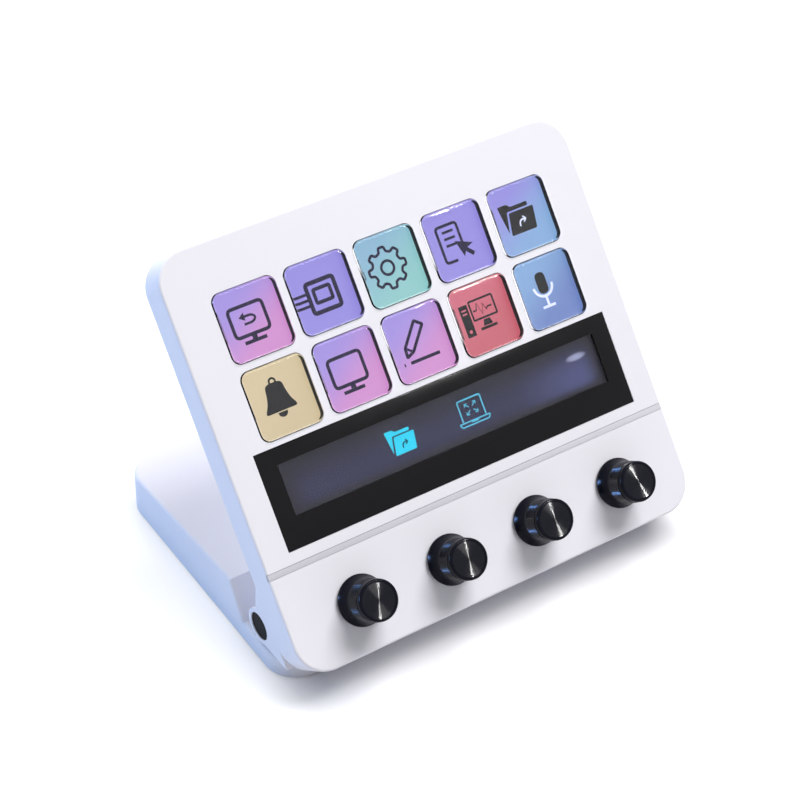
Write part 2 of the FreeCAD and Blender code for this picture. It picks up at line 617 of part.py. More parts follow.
def panel_rear_cover():
    """White rear shell with the two tapered hinge lugs, the screw recesses and the socket opening."""
    piece = Piece("panel_rear_cover", "panel")
    back = "-panel_depth"
    rounded_plate(piece, "panel_width", "panel_height", "panel_corner", back, "rear_thick",
                  "0", "panel_height / 2")
    rim = value(back) + TOUCH
    piece.fillet(piece.edges(lambda edge: edge.BoundBox.ZMax < rim), "panel_round")
    sketch = piece.sketch("YZ", "axis_up", "-axis_behind", LUG_INNER)
    draw_disc(sketch, "lug_radius")
    round_end = piece.pad(sketch, "lug_width")
    sketch = piece.sketch("YZ", "axis_up", "-axis_behind", LUG_INNER)
    reach = "axis_behind - panel_depth + panel_round"
    inside = "(lug_radius - web_sink)"
    draw_profile(sketch, [
        ("-web_low", reach),
        (f"{inside} * cos(web_low_turn * 1 deg)", f"{inside} * sin(web_low_turn * 1 deg)"),
        (f"{inside} * cos(web_high_turn * 1 deg)", f"{inside} * sin(web_high_turn * 1 deg)"),
        ("web_high", reach),
    ])
    web = piece.pad(sketch, "lug_width")
    piece.mirror([round_end, web])
    sketch = piece.sketch("YZ", "axis_up", "-axis_behind")
    draw_disc(sketch, "pin_radius + press_fit")
    piece.pocket(sketch, "panel_width", both=True)
    sketch = piece.sketch("YZ", "axis_up", "-axis_behind", CAP_SEAT)
    draw_disc(sketch, "cap_radius + press_fit")
    seat = piece.pocket(sketch, "cap_thick + cap_recess", reverse=True)
    piece.mirror([seat])
    for x, y in STUD_SPOTS:
        round_hole(piece, "screw_radius + head_gap", REAR_FACE, "rear_thick", x, y)
        round_hole(piece, "screw_head + head_gap", f"{back} + head_thick + head_sunk",
                   "head_thick + head_sunk", x, y)
    wide = "socket_width + 2 * socket_gap"
    tall = "socket_height + 2 * socket_gap"
    rounded_hole(piece, wide, tall, f"({tall}) / 2 - {ALMOST}", REAR_FACE, "rear_thick", "0", "socket_up")
    for side in ("-", ""):
        for y in ("board_margin + board_post", "(panel_height - board_margin - board_post)"):
            round_post(piece, "post_radius", REAR_FACE, "board_gap",
                       f"{side}(panel_width / 2 - board_margin - board_post)", y)
    return piece


# Display and key parts
def strip_glass():
    piece = Piece("strip_glass", "panel")
    plain_plate(piece, STRIP_WIDTH, "strip_height", "-strip_thick", "strip_thick", "0", STRIP_MIDDLE)
    return piece


def strip_display():
    piece = Piece("strip_display", "panel")
    grow = "2 * screen_margin"
    plain_plate(piece, f"{WINDOW_WIDTH} + {grow}", f"window_height + {grow}",
                "-shell_wall - screen_thick", "screen_thick", "0", WINDOW_MIDDLE)
    return piece


def key_grid():
    """Dark grid that guides the flanges of the caps and keeps light between them."""
    piece = Piece("key_grid", "panel")
    cell_x = f"({KEY_WIDTH} + 2 * key_lip + 2 * key_gap)"
    cell_y = f"({KEY_HEIGHT} + 2 * key_lip + 2 * key_gap)"
    grow = "2 * grid_border"
    plain_plate(piece, f"{KEYS_WIDTH} + {cell_x} + {grow}", f"{KEY_PITCH} * {ROWS - 1} + {cell_y} + {grow}",
                FILM_TOP, f"-shell_wall - {FILM_TOP}", "0", KEYS_MIDDLE)
    hole = rounded_hole(piece, cell_x, cell_y, "key_corner + key_lip + key_gap", "-shell_wall",
                        f"-shell_wall - {FILM_TOP}", KEY_FIRST, KEY_ROW)
    piece.row(hole, KEY_PITCH, COLUMNS, ROWS, KEY_PITCH)
    return piece


def contact_film():
    """Thin film under the caps, open under each picture."""
    piece = Piece("contact_film", "panel")
    plain_plate(piece, LCD_WIDTH, LCD_HEIGHT, LCD_TOP, "film_thick", "0", KEYS_MIDDLE)
    hole = rounded_hole(piece, f"{KEY_WIDTH} - 2 * film_rim", f"{KEY_HEIGHT} - 2 * film_rim",
                        "key_corner - film_rim", FILM_TOP, "film_thick", KEY_FIRST, KEY_ROW)
    piece.row(hole, KEY_PITCH, COLUMNS, ROWS, KEY_PITCH)
    return piece


def key_display():
    piece = Piece("key_display", "panel")
    plain_plate(piece, LCD_WIDTH, LCD_HEIGHT, LCD_LOW, "lcd_thick", "0", KEYS_MIDDLE)
    return piece


def display_cushion():
    """Foam between the key display and the main board."""
    piece = Piece("display_cushion", "panel")
    plain_plate(piece, f"{LCD_WIDTH} - 2 * cushion_inset", f"{LCD_HEIGHT} - 2 * cushion_inset", BOARD_TOP,
                f"{LCD_LOW} - {BOARD_TOP}", "0", KEYS_MIDDLE)
    return piece


def key_cap(column, row):
    """Clear cap: rounded solid block with a flange that keeps it in."""
    piece = Piece(f"key_cap_r{row + 1}c{column + 1}", "panel")
    x = f"{KEY_FIRST} + {column} * {KEY_PITCH}"
    y = f"{KEY_ROW} + {ROWS - 1 - row} * {KEY_PITCH}"
    rounded_plate(piece, KEY_WIDTH, KEY_HEIGHT, "key_corner", CAP_LOW, f"key_proud - {CAP_LOW}", x, y)
    top = value("key_proud") - TOUCH
    piece.fillet(piece.edges(lambda edge: edge.BoundBox.ZMin > top), "key_round")
    rounded_plate(piece, f"{KEY_WIDTH} + 2 * key_lip", f"{KEY_HEIGHT} + 2 * key_lip",
                  "key_corner + key_lip", CAP_LOW, "flange_thick", x, y)
    return piece


# Board and its parts
def main_board():
    piece = Piece("main_board", "panel")
    plain_plate(piece, "panel_width - 2 * board_margin", "panel_height - 2 * board_margin",
                BOARD_LOW, "board_thick", "0", "panel_height / 2")
    plain_hole(piece, "socket_width + 2 * socket_gap", "socket_height + 2 * socket_gap", BOARD_TOP,
               "board_thick", "0", "socket_up")
    return piece


def data_socket():
    """Upright socket on the board, flush with the rear cover's outer face."""
    piece = Piece("data_socket", "panel")
    low = "(socket_sunk - panel_depth)"
    deep = f"({BOARD_TOP} - {low} - socket_floor)"
    rounded_plate(piece, "socket_width", "socket_height", f"socket_height / 2 - {ALMOST}", low,
                  f"{deep} + socket_floor", "0", "socket_up")
    sketch = piece.sketch("XY", "0", "socket_up", low)
    draw_rounded_box(sketch, "socket_width - 2 * socket_wall", "socket_height - 2 * socket_wall",
                     f"socket_height / 2 - socket_wall - {ALMOST}")
    piece.pocket(sketch, deep, reverse=True)
    plain_plate(piece, "socket_width - 2 * tongue_side", "tongue_thick", f"{low} + socket_floor", deep,
                "0", "socket_up")
    return piece


def encoder_bodies():
    """Push encoders: square body on the board and a round bushing up to the front cover."""
    piece = Piece("encoder_bodies", "panel")
    for index in range(KNOBS):
        x = f"{KNOB_FIRST} + {index} * {KNOB_PITCH}"
        plain_plate(piece, "encoder_width", "encoder_width", BOARD_TOP, "encoder_height", x, "knob_up")
        round_post(piece, f"{BORE_RADIUS} + bushing_wall", ENCODER_TOP, f"-bushing_top - {ENCODER_TOP}",
                   x, "knob_up")
        round_hole(piece, BORE_RADIUS, "-bushing_top", f"-bushing_top - {BOARD_TOP} - encoder_floor",
                   x, "knob_up")
    return piece


def push_sleeve(index):
    """The encoder's sliding sleeve, which a push on the knob drives in."""
    piece = Piece(f"push_sleeve_{index + 1}", "panel")
    x = f"{KNOB_FIRST} + {index} * {KNOB_PITCH}"
    sketch = piece.sketch("XY", x, "knob_up", SLEEVE_LOW)
    draw_disc(sketch, SLEEVE_RADIUS)
    draw_disc(sketch, "spindle_radius + slide_fit")
    piece.pad(sketch, f"-sleeve_top - {SLEEVE_LOW}")
    return piece


def knob_shaft(index):
    """Encoder shaft: thin spindle in the sleeve, thick end with a flat in the knob."""
    piece = Piece(f"knob_shaft_{index + 1}", "panel")
    x = f"{KNOB_FIRST} + {index} * {KNOB_PITCH}"
    collar = "(collar_gap - sleeve_top)"
    round_post(piece, "spindle_radius", SLEEVE_LOW, f"{collar} - {SLEEVE_LOW}", x, "knob_up")
    round_post(piece, f"{SLEEVE_RADIUS} - slide_fit", collar, f"shaft_low - {collar}", x, "knob_up")
    round_post(piece, "shaft_radius", "shaft_low", "shaft_top - shaft_low", x, "knob_up")
    sketch = piece.sketch("XY", x, "knob_up", "shaft_top")
    draw_box(sketch, f"2 * shaft_radius + {SPARE}", "shaft_radius", "0", "1.5 * shaft_radius - shaft_flat")
    piece.pocket(sketch, "shaft_top - shaft_low - shaft_round")
    return piece


def knob(index):
    """Turned knob: flared skirt, grip, groove and bevelled crown round a sunk end face."""
    piece = Piece(f"knob_{index + 1}", "panel")
    x = f"{KNOB_FIRST} + {index} * {KNOB_PITCH}"
    piece.body.setExpression("Placement.Base.x", bound(x))
    sketch = piece.sketch("XZ", "0", "0", "-knob_up")
    bore = "shaft_radius + press_fit"
    draw_profile(sketch, [
        (bore, KNOB_LOW),
        ("skirt_radius", KNOB_LOW),
        ("skirt_radius", f"{KNOB_LOW} + skirt_edge"),
        ("neck_radius", "cone_top"),
        ("grip_radius", "cone_top + turn_step"),
        ("grip_radius", "grip_top"),
        ("groove_radius", "grip_top + turn_step"),
        ("groove_radius", "crown_low"),
        ("crown_radius", "crown_low + turn_step"),
        ("crown_radius", "knob_top - crown_bevel"),
        ("crown_radius - crown_bevel", "knob_top"),
        ("face_radius", "knob_top"),
        ("face_radius", "knob_top - face_depth"),
        ("0", "knob_top - face_depth"),
        ("0", "shaft_top + shaft_spare"),
        (bore, "shaft_top + shaft_spare"),
    ])
    turned = piece.body.newObject("PartDesign::Revolution", piece.name("turn"))
    turned.Profile = sketch
    turned.ReferenceAxis = (sketch, ["V_Axis"])
    turned.Angle = 360
    doc.recompute()
    return piece


pieces = [
    base_housing(),
    base_bottom_plate(),
    rubber_feet(),
    screws("base_screws", "base", SCREW_SPOTS, "base_lift", "bottom_thick - head_thick + short_screw"),
    along_axis("hinge_bushings", "base",
               [(BUSH_RADIUS, "pin_radius + pin_fit", f"{KNUCKLE_OUTER} - knuckle_width", KNUCKLE_OUTER)]),
    panel_front_cover(),
    panel_rear_cover(),
    screws("panel_screws", "panel", STUD_SPOTS, "head_sunk - panel_depth",
           "rear_thick - head_thick - head_sunk + screw_length"),
    along_axis("hinge_pins", "panel",
               [("pin_radius", None, f"{KNUCKLE_OUTER} - knuckle_width", CAP_SEAT)]),
    along_axis("hinge_caps", "panel",
               [("cap_radius", None, CAP_SEAT, f"{CAP_SEAT} + cap_thick")]),
    strip_glass(),
    strip_display(),
    key_grid(),
    contact_film(),
    key_display(),
    display_cushion(),
    main_board(),
    data_socket(),
    encoder_bodies(),
]
for row in range(ROWS):
    for column in range(COLUMNS):
        pieces.append(key_cap(column, row))
for index in range(KNOBS):
    pieces.append(push_sleeve(index))
    pieces.append(knob_shaft(index))
    pieces.append(knob(index))

doc.recompute()
bad = [item.Label for item in doc.Objects if "Invalid" in item.State or "Error" in item.State]
if bad:
    raise RuntimeError("failed objects: " + ", ".join(bad))
for piece in pieces:
    shape = piece.body.Shape
    if shape.isNull() or not shape.isValid() or not shape.Solids:
        raise RuntimeError("bad shape: " + piece.label)
    shape.exportStep(f"parts/{piece.label}.step")
print(len(pieces), "pieces written")
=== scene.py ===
import json
import math

import bpy
from mathutils import Matrix, Vector


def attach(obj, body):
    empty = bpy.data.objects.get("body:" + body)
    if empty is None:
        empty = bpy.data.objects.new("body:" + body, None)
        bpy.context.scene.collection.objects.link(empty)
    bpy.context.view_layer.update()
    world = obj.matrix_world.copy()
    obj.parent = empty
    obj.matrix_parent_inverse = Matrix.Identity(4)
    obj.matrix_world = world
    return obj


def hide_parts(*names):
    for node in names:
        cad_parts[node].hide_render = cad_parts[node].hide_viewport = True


# A macro keypad: clear key caps over lit pictures, a glass strip and turned knobs on a white
# panel. Sizes are in millimetres in the panel's own plane: x across, y up from its bottom edge,
# z out of its front face. MM turns them into metres. CLOSE and TOUCHING are in metres, and
# AMBIENT is the strength of the white surround where it only gives light.
MM = 0.001
CLOSE = 0.00001
TOUCHING = 0.000001
STAND_ANGLE = math.radians(49.6)
AXIS_UP = 16.7
AXIS_BEHIND = 19.7
AXIS_Y = -26.1355187
AXIS_Z = 13.8
KEY_PITCH = 23.0
KEY_WIDTH = 20.1
KEY_HEIGHT = 20.4
KEY_CORNER = 2.6
ROW_UP = (99.1, 76.1)
CAP_TOP = 1.0
CAP_LOW = -3.1
FLANGE = 0.7
FLANGE_THICK = 0.8
WALL_LOW, WALL_TOP = -3.0, -1.2
GAP_RING_LOW, GAP_RING_TOP = -1.9, -0.04
PICTURE_LOW, PICTURE_THICK, PICTURE_PAST = -4.59, 0.02, 0.6
STRIP_WIDTH = 120.7
STRIP_HEIGHT = 28.6
STRIP_THICK = 1.2
STRIP_UP = 49.7
WINDOW_WIDTH = 109.0
WINDOW_HEIGHT = 15.1
WINDOW_UP = 51.65
SCREEN_TOP = -2.0
GROOVE_LENGTH, GROOVE_WIDTH, GROOVE_UP = 137.6, 1.9, 31.0
GROOVE_LOW, GROOVE_TOP = -0.85, -0.2
KNOB_PITCH = 30.2
KNOB_UP = 15.0
AMBIENT = 0.32

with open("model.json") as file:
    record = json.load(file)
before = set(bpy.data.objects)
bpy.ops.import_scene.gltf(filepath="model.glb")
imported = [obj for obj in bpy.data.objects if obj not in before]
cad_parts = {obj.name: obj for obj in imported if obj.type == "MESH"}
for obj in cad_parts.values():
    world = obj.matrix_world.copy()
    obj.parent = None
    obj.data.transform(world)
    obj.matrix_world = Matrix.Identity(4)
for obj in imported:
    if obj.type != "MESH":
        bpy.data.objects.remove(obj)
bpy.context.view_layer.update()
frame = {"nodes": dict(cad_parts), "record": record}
nodes = frame["nodes"]

PANEL = (
    Matrix.Translation((0, AXIS_Y * MM, AXIS_Z * MM))
    @ Matrix.Rotation(STAND_ANGLE, 4, "X")
    @ Matrix.Translation((0, -AXIS_UP * MM, AXIS_BEHIND * MM))
)


class Wire:
    """An output of a node. Arithmetic on it adds Math nodes to its finish."""

    def __init__(self, finish, socket):
        self.finish = finish
        self.socket = socket

    def combine(self, operation, first, second):
        return self.finish.node("ShaderNodeMath", {"operation": operation}, {0: first, 1: second})

    def __add__(self, other):
        return self.combine("ADD", self, other)

    def __radd__(self, other):
        return self.combine("ADD", other, self)

    def __sub__(self, other):
        return self.combine("SUBTRACT", self, other)

    def __rsub__(self, other):
        return self.combine("SUBTRACT", other, self)

    def __mul__(self, other):
        return self.combine("MULTIPLY", self, other)

    def __rmul__(self, other):
        return self.combine("MULTIPLY", other, self)

    def __truediv__(self, other):
        return self.combine("DIVIDE", self, other)

    def __rtruediv__(self, other):
        return self.combine("DIVIDE", other, self)


class Finish:
    """A material, or the world, while it is being mixed: its nodes and its main shader."""

    def __init__(self, name, kept_in=bpy.data.materials, shader="Principled BSDF", **steady):
        self.material = kept_in.new(name)
        self.material.use_nodes = True
        self.tree = self.material.node_tree
        self.shader = self.tree.nodes[shader]
        self.vary(**steady)

    def feed(self, socket, item):
        if isinstance(item, Wire):
            self.tree.links.new(item.socket, socket)
        else:
            socket.default_value = item

    def vary(self, **sockets):
        for name, item in sockets.items():
            self.feed(self.shader.inputs[name.replace("_", " ")], item)

    def node(self, kind, settings=None, inputs=None, output=0):
        made = self.tree.nodes.new(kind)
        for name, setting in (settings or {}).items():
            setattr(made, name, setting)
        for key, item in (inputs or {}).items():
            self.feed(made.inputs[key], item)
        return Wire(self, made.outputs[output])

    def here(self):
        return self.node("ShaderNodeTexCoord", output="Object")

    def on_panel(self, x, y):
        """Places measured in the panel's plane from a point of it, in metres."""
        centre = PANEL @ Vector((x * MM, y * MM, 0.0))
        turned = {"Vector": self.here(), "Location": centre, "Rotation": (STAND_ANGLE, 0.0, 0.0)}
        return self.node("ShaderNodeMapping", {"vector_type": "TEXTURE"}, turned)

    def looked_at(self):
        """1 where the camera sees this straight, mirrored or through glass, and 0 where it only lights."""
        kinds = ("Is Camera Ray", "Is Glossy Ray", "Is Transmission Ray")
        straight, mirrored, through = (self.node("ShaderNodeLightPath", output=kind) for kind in kinds)
        return straight + mirrored + through

    def flat(self, place):
        """How far across and how far up a place is."""
        return [self.node("ShaderNodeSeparateXYZ", inputs={0: place}, output=axis) for axis in "XY"]

    def grain(self, scale, detail=2.0, coarse=0.5, where=None):
        """Cloudy noise between 0 and 1."""
        sockets = {"Vector": where or self.here(), "Scale": scale, "Detail": detail, "Roughness": coarse}
        return self.node("ShaderNodeTexNoise", inputs=sockets)

    def slope(self, amount, low, high):
        """A smooth step of an amount, from 0 at low to 1 at high."""
        sockets = {"Value": amount, "From Min": low, "From Max": high}
        return self.node("ShaderNodeMapRange", {"interpolation_type": "SMOOTHSTEP"}, sockets)

    def between(self, amount, rise, fall):
        """1 from the end of one stretch to the start of another, and smoothly 0 outside them."""
        return self.slope(amount, *rise) * (1 - self.slope(amount, *fall))

    def blend(self, share, first, second):
        return self.node("ShaderNodeMix", {"data_type": "RGBA"}, {0: share, 6: first, 7: second}, output=2)

    def bump(self, height, depth, strength=1.0):
        sockets = {"Height": height, "Distance": depth, "Strength": strength}
        self.vary(Normal=self.node("ShaderNodeBump", inputs=sockets))

    def roughen(self, cloud, mean, spread):
        """Roughness that wanders about its mean with a cloud."""
        self.vary(Roughness=cloud * spread + (mean - spread / 2))


def shade(red, green, blue):
    """A colour as it is read off a screen, made linear for a shader."""
    parts = [c / 255 for c in (red, green, blue)]
    return (*(c / 12.92 if c <= 0.04045 else ((c + 0.055) / 1.055) ** 2.4 for c in parts), 1.0)


def dimmer(colour, factor):
    return (*(c * factor for c in colour[:3]), 1.0)


def moulded(name, colour, roughness, grit=0.00002, shine=0.5):
    """Moulded plastic: fine spark texture, faint clouding and a little uneven gloss."""
    finish = Finish(name, Specular_IOR_Level=shine)
    cloud = finish.grain(28.0, 3.0)
    finish.vary(Base_Color=finish.blend(cloud * 0.5, colour, dimmer(colour, 0.965)))
    finish.roughen(finish.grain(160.0), roughness, 0.1)
    finish.bump(finish.grain(2400.0, 3.0, 0.6), grit, 0.4)
    return finish.material


def metal(name, colour, roughness):
    """Bare metal with fine handling scratches."""
    finish = Finish(name, Metallic=1.0)
    drawn = finish.node("ShaderNodeMapping", inputs={"Vector": finish.here(), "Scale": (1.0, 1.0, 12.0)})
    streak = finish.grain(420.0, 4.0, 0.6, drawn)
    finish.vary(Base_Color=finish.blend(streak, colour, dimmer(colour, 0.8)))
    finish.roughen(streak, roughness, 0.2)
    finish.bump(streak, 0.00001, 0.5)
    return finish.material


def rubber():
    finish = Finish("foot_rubber", Specular_IOR_Level=0.3)
    dust = finish.grain(300.0, 4.0, 0.7)
    finish.vary(Base_Color=finish.blend(dust * 0.5, shade(30, 30, 31), (0.08, 0.08, 0.08, 1.0)))
    finish.roughen(dust, 0.8, 0.2)
    finish.bump(finish.grain(1800.0, 3.0, 0.7), 0.00004, 0.6)
    return finish.material


def anodised(name, roughness, shine=0.1):
    """Black anodised aluminium: deep colour under a hard clear layer, with faint turning marks."""
    finish = Finish(name, Specular_IOR_Level=shine)
    cloud = finish.grain(900.0, 3.0)
    finish.vary(Base_Color=finish.blend(cloud, shade(8, 10, 20), shade(17, 19, 31)))
    finish.roughen(cloud, roughness, 0.08)
    finish.bump(finish.grain(5200.0), 0.000004, 0.4)
    return finish.material


def clear(name, colour, bending):
    """Clear plastic or glass that mirrors the white studio only weakly."""
    faint = (0.42, 0.42, 0.42, 1.0)
    return Finish(name, Base_Color=colour, Transmission_Weight=1.0, IOR=bending, Specular_Tint=faint)


def clear_resin():
    """Clear cap: water-clear with the faintest moulding ripple, smooth all over."""
    finish = clear("clear_resin", (1.0, 1.0, 1.0, 1.0), 1.49)
    finish.vary(Roughness=finish.grain(500.0) * 0.02)
    finish.bump(finish.grain(90.0, 1.0), 0.00001, 0.15)
    return finish.material


def pane_glass():
    finish = clear("pane_glass", (0.93, 0.93, 0.96, 1.0), 1.3)
    finish.vary(Roughness=finish.grain(140.0) * 0.03)
    return finish.material


def printed_black():
    """Glass printed black from behind, with a few finger marks in its gloss."""
    finish = Finish("printed_black", Specular_IOR_Level=0.08)
    smear = finish.grain(60.0, 4.0, 0.65)
    finish.vary(Base_Color=finish.blend(smear, shade(26, 25, 27), shade(30, 29, 31)))
    finish.roughen(smear, 0.16, 0.16)
    return finish.material


def display(name, colour, roughness):
    """A dark display face that gives its own light."""
    finish = Finish(name, Specular_IOR_Level=0.15, Emission_Strength=1.0)
    finish.vary(Base_Color=colour, Roughness=roughness)
    return finish


def lit_picture(name, first, second, x, y):
    """A key's lit background: one colour running slantwise into another over display pixels."""
    finish = display(name, (0.01, 0.01, 0.012, 1.0), 0.3)
    place = finish.on_panel(x, y)
    across, upward = finish.flat(place)
    share = finish.slope(across * 0.7 - upward, -0.010, 0.010)
    glow = finish.blend(share, first, second)
    pixels = finish.grain(3800.0, 1.0, where=place) * 0.12
    finish.vary(Emission_Color=finish.blend(pixels, glow, dimmer(second, 0.7)))
    return finish.material


def strip_glow():
    """The strip's dark blue picture, with painted shade that fades it to black at its rim, and a painted
    highlight, a soft gleam, at the right.
    """
    finish = display("strip_glow", (0.01, 0.01, 0.014, 1.0), 0.35)
    across, upward = finish.flat(finish.on_panel(0, WINDOW_UP))
    side = WINDOW_WIDTH / 2 * MM
    rim = WINDOW_HEIGHT / 2 * MM
    # Painted shade: the picture fades to near black at its ends and along its rims, where the frame's edge
    # shades the sunken display.
    clear_of_end_shade = finish.between(across, (-side, -side + 0.008), (side - 0.007, side))
    clear_of_rim_shade = finish.between(upward, (-rim, -rim + 0.003), (-0.002, rim))
    right = finish.slope(across, 0.020, 0.050)
    field = finish.blend(right, shade(33, 34, 62), shade(66, 70, 116))
    rim_shaded_field = finish.blend(clear_of_end_shade * clear_of_rim_shade, shade(15, 15, 22), field)
    # Painted highlight: a soft pale spot near the right end of the picture.
    along, over = finish.flat(finish.on_panel(47.5, 54.4))
    along, over = along / 0.0042, over / 0.0013
    painted_gleam = 1 - finish.slope(along * along + over * over, 0.0, 1.0)
    finish.vary(Emission_Color=finish.blend(painted_gleam, rim_shaded_field, shade(150, 155, 186)))
    return finish.material


def ink(name, colour):
    """The dark or bright lines of a display symbol."""
    finish = Finish(name, Roughness=0.6, Specular_IOR_Level=0.04, Emission_Strength=1.0)
    grit = finish.grain(3000.0, 1.0)
    finish.vary(Base_Color=dimmer(colour, 0.3))
    finish.vary(Emission_Color=finish.blend(grit * 0.3, colour, dimmer(colour, 0.8)))
    return finish.material


def circuit_board():
    finish = Finish("circuit_board", Coat_Weight=0.4)
    sockets = {"Vector": finish.here(), "Scale": 180.0, "Mortar Size": 0.03}
    copper = finish.node("ShaderNodeTexBrick", inputs=sockets, output="Fac")
    finish.vary(Base_Color=finish.blend(copper, shade(20, 82, 48), shade(38, 110, 66)))
    finish.roughen(finish.grain(300.0), 0.35, 0.1)
    return finish.material


def foam():
    finish = Finish("cushion_foam")
    cell = finish.node("ShaderNodeTexVoronoi", inputs={"Vector": finish.here(), "Scale": 1400.0})
    finish.vary(Base_Color=finish.blend(cell, shade(38, 38, 40), shade(70, 70, 72)), Roughness=0.9)
    finish.bump(cell, 0.0001, 0.8)
    return finish.material


black_plastic = moulded("black_plastic", shade(12, 14, 22), 0.5, shine=0.05)
clear_cap = clear_resin()
finishes = {
    "white_plastic": moulded("white_plastic", shade(243, 242, 249), 0.52, shine=0.04),
    "foot_rubber": rubber(),
    "screw_steel": metal("screw_steel", (0.56, 0.56, 0.58, 1.0), 0.32),
    "bushing_brass": metal("bushing_brass", shade(214, 178, 96), 0.3),
    "pin_steel": metal("pin_steel", (0.62, 0.62, 0.64, 1.0), 0.22),
    "black_plastic": black_plastic,
    "black_glass": printed_black(),
    "clear_plastic": clear_cap,
    "display": moulded("display_module", shade(22, 22, 28), 0.25, 0.000005),
    "film": moulded("contact_film", shade(150, 150, 152), 0.5, 0.00001),
    "foam": foam(),
    "board": circuit_board(),
    "socket_steel": metal("socket_steel", (0.66, 0.66, 0.68, 1.0), 0.25),
    "encoder_metal": metal("encoder_metal", (0.5, 0.5, 0.52, 1.0), 0.4),
    "black_anodised": anodised("black_anodised", 0.25),
}
for part in frame["record"]["subparts"]:
    skin = nodes[part["node"]].data.materials
    skin.clear()
    skin.append(finishes[part["material_slot"]])


# Modelling by hand: one primitive at a time, shaped in edit mode
def take(name):
    """The object just added, with a name for it and its mesh."""
    made = bpy.context.active_object
    made.name = name
    made.data.name = name
    return made


def clear_desk():
    """Leave edit mode and deselect everything, the frame's nodes too."""
    if bpy.context.mode != "OBJECT":
        bpy.ops.object.mode_set(mode="OBJECT")
    bpy.ops.object.select_all(action="DESELECT")


def choose(piece, test, kind="FACE"):
    """In edit mode, select the faces or edges that pass a test, and nothing else."""
    bpy.ops.mesh.select_mode(type=kind)
    bpy.ops.mesh.select_all(action="DESELECT")
    bpy.ops.object.mode_set(mode="OBJECT")
    for item in piece.data.polygons if kind == "FACE" else piece.data.edges:
        item.select = test(item)
    bpy.ops.object.mode_set(mode="EDIT")


def middle(piece, edge):
    first, second = (piece.data.vertices[i].co for i in edge.vertices)
    return (first + second) / 2


def run(piece, edge):
    """From an edge's first end to its second."""
    first, second = (piece.data.vertices[i].co for i in edge.vertices)
    return second - first


def finish_mesh(piece, smooth=35.0):
    """Merge, turn the faces outwards and shade smooth over gentle edges."""
    bpy.ops.object.mode_set(mode="EDIT")
    bpy.ops.mesh.select_all(action="SELECT")
    bpy.ops.mesh.remove_doubles(threshold=TOUCHING)
    bpy.ops.mesh.normals_make_consistent(inside=False)
    bpy.ops.object.mode_set(mode="OBJECT")
    bpy.ops.object.shade_smooth_by_angle(angle=math.radians(smooth))
    return piece


def settle(piece, x, y, body, material, z=0.0):
    """Stand a finished piece in the panel's plane, its place in its mesh, on its body."""
    piece.data.transform(PANEL @ Matrix.Translation((x * MM, y * MM, z * MM)))
    piece.data.materials.clear()
    piece.data.materials.append(material)
    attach(piece, body)
    return piece


def copy_of(piece, name):
    twin = piece.copy()
    twin.data = piece.data.copy()
    twin.name = name
    twin.data.name = name
    bpy.context.scene.collection.objects.link(twin)
    return twin


def rounded_slab(name, width, height, low, high, corner):
    """A flat plate with rounded corners, between two heights, left in edit mode."""
    clear_desk()
    bpy.ops.mesh.primitive_cube_add(size=1.0, location=(0, 0, (low + high) / 2 * MM))
    piece = take(name)
    piece.scale = (width * MM, height * MM, (high - low) * MM)
    bpy.ops.object.transform_apply(location=True, rotation=True, scale=True)
    bpy.ops.object.mode_set(mode="EDIT")
    if corner:
        choose(piece, lambda edge: abs(run(piece, edge).normalized().z) > 0.9, "EDGE")
        bpy.ops.mesh.bevel(offset=corner * MM, segments=8, affect="EDGES")
    return piece


def key_slab(name, past, low, high):
    """A plate of a key's outline, grown by a margin all round."""
    return rounded_slab(name, KEY_WIDTH + 2 * past, KEY_HEIGHT + 2 * past, low, high, KEY_CORNER + past)


def soften_top(piece, high, offset, segments):
    """Round the edges of the top face."""
    choose(piece, lambda face: face.normal.z > 0.9 and face.center.z > high * MM - CLOSE)
    bpy.ops.mesh.region_to_loop()
    bpy.ops.mesh.bevel(offset=offset * MM, segments=segments, affect="EDGES", profile=0.5)


# Key caps
def make_cap():
    """Clear cap: a flange that keeps it in, and a block drawn up from it with soft top edges."""
    piece = key_slab("cap_shape", FLANGE, CAP_LOW, CAP_LOW + FLANGE_THICK)
    choose(piece, lambda face: face.normal.z > 0.9)
    bpy.ops.mesh.inset(thickness=FLANGE * MM)
    rise = (CAP_TOP - CAP_LOW - FLANGE_THICK) * MM
    bpy.ops.mesh.extrude_region_move(TRANSFORM_OT_translate={"value": (0, 0, rise)})
    soften_top(piece, CAP_TOP, 0.75, 5)
    return finish_mesh(piece, 50.0)


def make_ring(name, past, thick, low, high):
    """An upright ring along a key's outline: a slab opened by insets, its rims then bridged."""
    piece = key_slab(name, past, low, high)
    choose(piece, lambda face: abs(face.normal.z) > 0.9)
    bpy.ops.mesh.inset(thickness=thick * MM)
    bpy.ops.mesh.delete(type="FACE")
    choose(piece, lambda edge: on_inner_rim(piece, edge, KEY_CORNER + past, thick), "EDGE")
    bpy.ops.mesh.bridge_edge_loops()
    return finish_mesh(piece)


def on_inner_rim(piece, edge, corner, thick):
    """Whether an edge runs along the inner side of a ring's rims."""
    if abs(run(piece, edge).z) > TOUCHING:
        return False
    place = middle(piece, edge) / MM
    over_x = abs(place.x) - KEY_WIDTH / 2 + KEY_CORNER
    over_y = abs(place.y) - KEY_HEIGHT / 2 + KEY_CORNER
    out = Vector((max(over_x, 0), max(over_y, 0))).length
    deep = corner - out if out else corner - max(over_x, over_y)
    return deep > thick * 0.6


# Symbols for the pictures, drawn in millimetres about a key's middle
STROKE_THICK, PATCH_THICK = 0.05, 0.06


